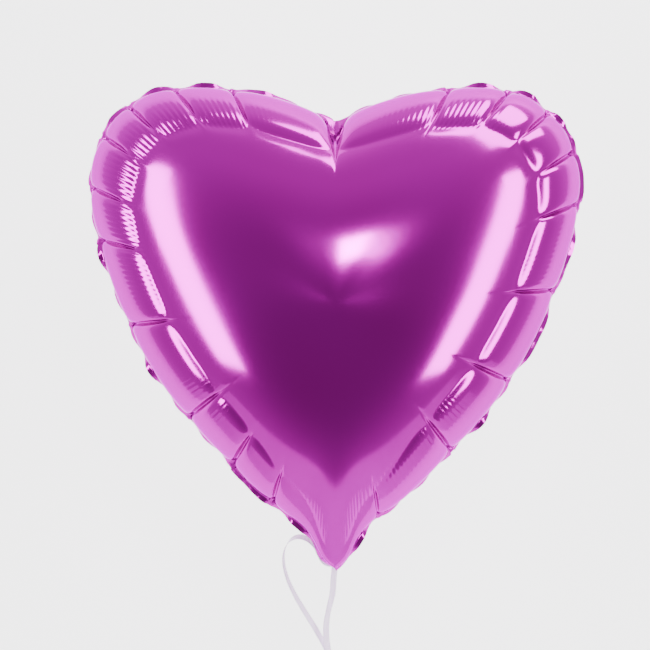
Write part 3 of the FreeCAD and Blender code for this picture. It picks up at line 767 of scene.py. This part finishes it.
# %% Ribbon material
def ribbon_material(name):
    """Lilac strip with fine lines along it, from the UV map that ribbon_strip gives it."""
    material, add, links = new_material(name)
    shader = add["Principled BSDF"]
    shader.inputs["Subsurface Weight"].default_value = 0.25
    shader.inputs["Subsurface Radius"].default_value = (0.002, 0.0015, 0.002)
    shader.inputs["Subsurface Scale"].default_value = 1.0
    coordinates, stretch = add.new("ShaderNodeTexCoord"), add.new("ShaderNodeMapping")
    stretch.inputs["Scale"].default_value = (30, 2500, 1)
    lines, colour = add.new("ShaderNodeTexNoise"), add.new("ShaderNodeMix")
    rough, height = add.new("ShaderNodeMapRange"), add.new("ShaderNodeBump")
    lines.inputs["Scale"].default_value = 1
    lines.inputs["Detail"].default_value = 2
    colour.data_type = "RGBA"
    colour.inputs["A"].default_value = (0.66, 0.44, 0.80, 1)
    colour.inputs["B"].default_value = (0.86, 0.74, 0.92, 1)
    rough.inputs["To Min"].default_value = 0.22
    rough.inputs["To Max"].default_value = 0.4
    height.inputs["Strength"].default_value = 0.25
    height.inputs["Distance"].default_value = 0.0002
    links.new(coordinates.outputs["UV"], stretch.inputs["Vector"])
    links.new(stretch.outputs["Vector"], lines.inputs["Vector"])
    links.new(lines.outputs["Fac"], colour.inputs["Factor"])
    links.new(lines.outputs["Fac"], rough.inputs["Value"])
    links.new(lines.outputs["Fac"], height.inputs["Height"])
    links.new(colour.outputs["Result"], shader.inputs["Base Color"])
    links.new(rough.outputs["Result"], shader.inputs["Roughness"])
    links.new(height.outputs["Normal"], shader.inputs["Normal"])
    return material


ribbon = ribbon_material("lilac ribbon")

# %% [markdown]
# ## Clear valve film
# Inside the neck lies a flat valve, two plies of clear film that the gas itself presses shut. Such film
# is limp and a little cloudy. Plain alpha keeps it see-through without the bends of solid glass.

# %% Clear valve film
clear_film, add, links = new_material("clear valve film")
shader = add["Principled BSDF"]
shader.inputs["Base Color"].default_value = (0.86, 0.87, 0.9, 1)
shader.inputs["Roughness"].default_value = 0.18
shader.inputs["Alpha"].default_value = 0.45
coordinates, ripple, height = (add.new(kind) for kind in (
    "ShaderNodeTexCoord", "ShaderNodeGroup", "ShaderNodeBump"))
ripple.node_tree = film_ripple
ripple.inputs["Ripple Size"].default_value = 120
ripple.inputs["Crease Size"].default_value = 500
height.inputs["Strength"].default_value = 0.4
height.inputs["Distance"].default_value = 0.0004
links.new(coordinates.outputs["Object"], ripple.inputs["Vector"])
links.new(ripple.outputs["Height"], height.inputs["Height"])
links.new(height.outputs["Normal"], shader.inputs["Normal"])

# %% [markdown]
# ## Who wears what
# The two panels are smooth foil, and what has been gathered or folded is the same foil crushed. Every
# piece of ribbon is cut from one roll.

# %% Give each piece its finish
finishes = {foil: [front_film, back_film], ribbon: [long_strand, short_strand, wrap, knot, tie],
            crushed_foil: [nodes["neck_gather"], tail_front, tail_back],
            clear_film: [nodes[n] for n in ("valve_front_film", "valve_back_film", "valve_inlet")]}
for material, pieces in finishes.items():
    for piece in pieces:
        piece.data.materials.clear()
        piece.data.materials.append(material)
    print(material.name, "on", [piece.name for piece in pieces])

# %% [markdown]
# ## The studio
# The balloon hangs in front of a pale wall. Two tall soft boxes stand left and right and draw the
# long bright strips on the foil, a smaller one in front gives the highlight near the middle, and a
# broad one above fills in. The wall glows a little, so that it stays pale behind the lit foil. The
# dimmer room on the eye's side is what makes the middle of the foil go deep.

# %% Wall and floor
def stage_plane(name, size, location, rotation, colour, glow=0.0):
    """A wall or floor that is clear when seen from its back, so that it hides nothing."""
    nothing_selected()
    bpy.ops.mesh.primitive_plane_add(size=1, location=location, rotation=rotation)
    plane = bpy.context.object
    plane.name = name
    plane.scale = (size[0], size[1], 1)
    bpy.ops.object.transform_apply(location=False, rotation=False, scale=True)
    material, add, links = new_material(name)
    shader = add["Principled BSDF"]
    shader.inputs["Base Color"].default_value = (*colour, 1)
    shader.inputs["Roughness"].default_value = 0.9
    shader.inputs["Specular IOR Level"].default_value = 0.1
    facing, clear, mix = (add.new(kind) for kind in (
        "ShaderNodeNewGeometry", "ShaderNodeBsdfTransparent", "ShaderNodeMixShader"))
    links.new(facing.outputs["Backfacing"], mix.inputs["Fac"])
    links.new(shader.outputs["BSDF"], mix.inputs[1])
    links.new(clear.outputs["BSDF"], mix.inputs[2])
    links.new(mix.outputs["Shader"], add["Material Output"].inputs["Surface"])
    plane.data.materials.append(material)
    shader.inputs["Emission Color"].default_value = (1, 1, 1, 1)
    shader.inputs["Emission Strength"].default_value = glow
    return plane


wall = stage_plane("pale_wall", (6, 6), (0, 0.42, 0.8), (math.pi / 2, 0, 0), (0.9, 0.9, 0.91), glow=1.9)
floor = stage_plane("pale_floor", (6, 2.0), (0, -0.1, -2.2), (0, 0, 0), (0.8, 0.8, 0.81))


# %% Lights
def soft_box(name, location, target, size, power):
    """A rectangular light that faces its target."""
    nothing_selected()
    bpy.ops.object.light_add(type="AREA", location=location)
    light = bpy.context.object
    light.name = name
    light.rotation_euler = (Vector(target) - Vector(location)).to_track_quat("-Z", "Y").to_euler()
    light.data.shape = "RECTANGLE"
    light.data.size, light.data.size_y = size
    light.data.energy = power
    return light


heart = (0, seam_y, tip_z + 0.2)
soft_box("left box", (-1.25, -1.15, 0.2), heart, (0.4, 1.8), 40)
soft_box("right box", (1.25, -1.15, 0.1), heart, (0.36, 1.9), 36)
soft_box("front box", (0.22, -2.6, 0.85), heart, (0.42, 0.34), 22)
soft_box("top box", (0.9, -0.6, 2.0), heart, (1.2, 1.2), 60)

# %% Room
world = bpy.data.worlds.new("pale room")
bpy.context.scene.world = world
world.use_nodes = True
add, links = world.node_tree.nodes, world.node_tree.links
coordinates, split, tilt, shades = (add.new(kind) for kind in (
    "ShaderNodeTexCoord", "ShaderNodeSeparateXYZ", "ShaderNodeMath", "ShaderNodeValToRGB"))
tilt.operation = "MULTIPLY_ADD"
tilt.inputs[1].default_value = 0.3
toward = add.new("ShaderNodeMapRange")
toward.inputs["From Min"].default_value, toward.inputs["From Max"].default_value = -1.1, 1.1
links.new(coordinates.outputs["Generated"], split.inputs["Vector"])
links.new(split.outputs["Z"], tilt.inputs[0])
links.new(split.outputs["Y"], tilt.inputs[2])
links.new(tilt.outputs[0], toward.inputs["Value"])
links.new(toward.outputs["Result"], shades.inputs["Fac"])
ramp = shades.color_ramp
ramp.interpolation = "EASE"
ramp.elements[0].position, ramp.elements[0].color = 0.03, (0.17, 0.17, 0.17, 1)
ramp.elements[1].position, ramp.elements[1].color = 0.7, (0.85, 0.85, 0.85, 1)
middle = ramp.elements.new(0.3)
middle.color = (0.46, 0.46, 0.46, 1)
links.new(shades.outputs["Color"], add["Background"].inputs["Color"])
add["Background"].inputs["Strength"].default_value = 2.4
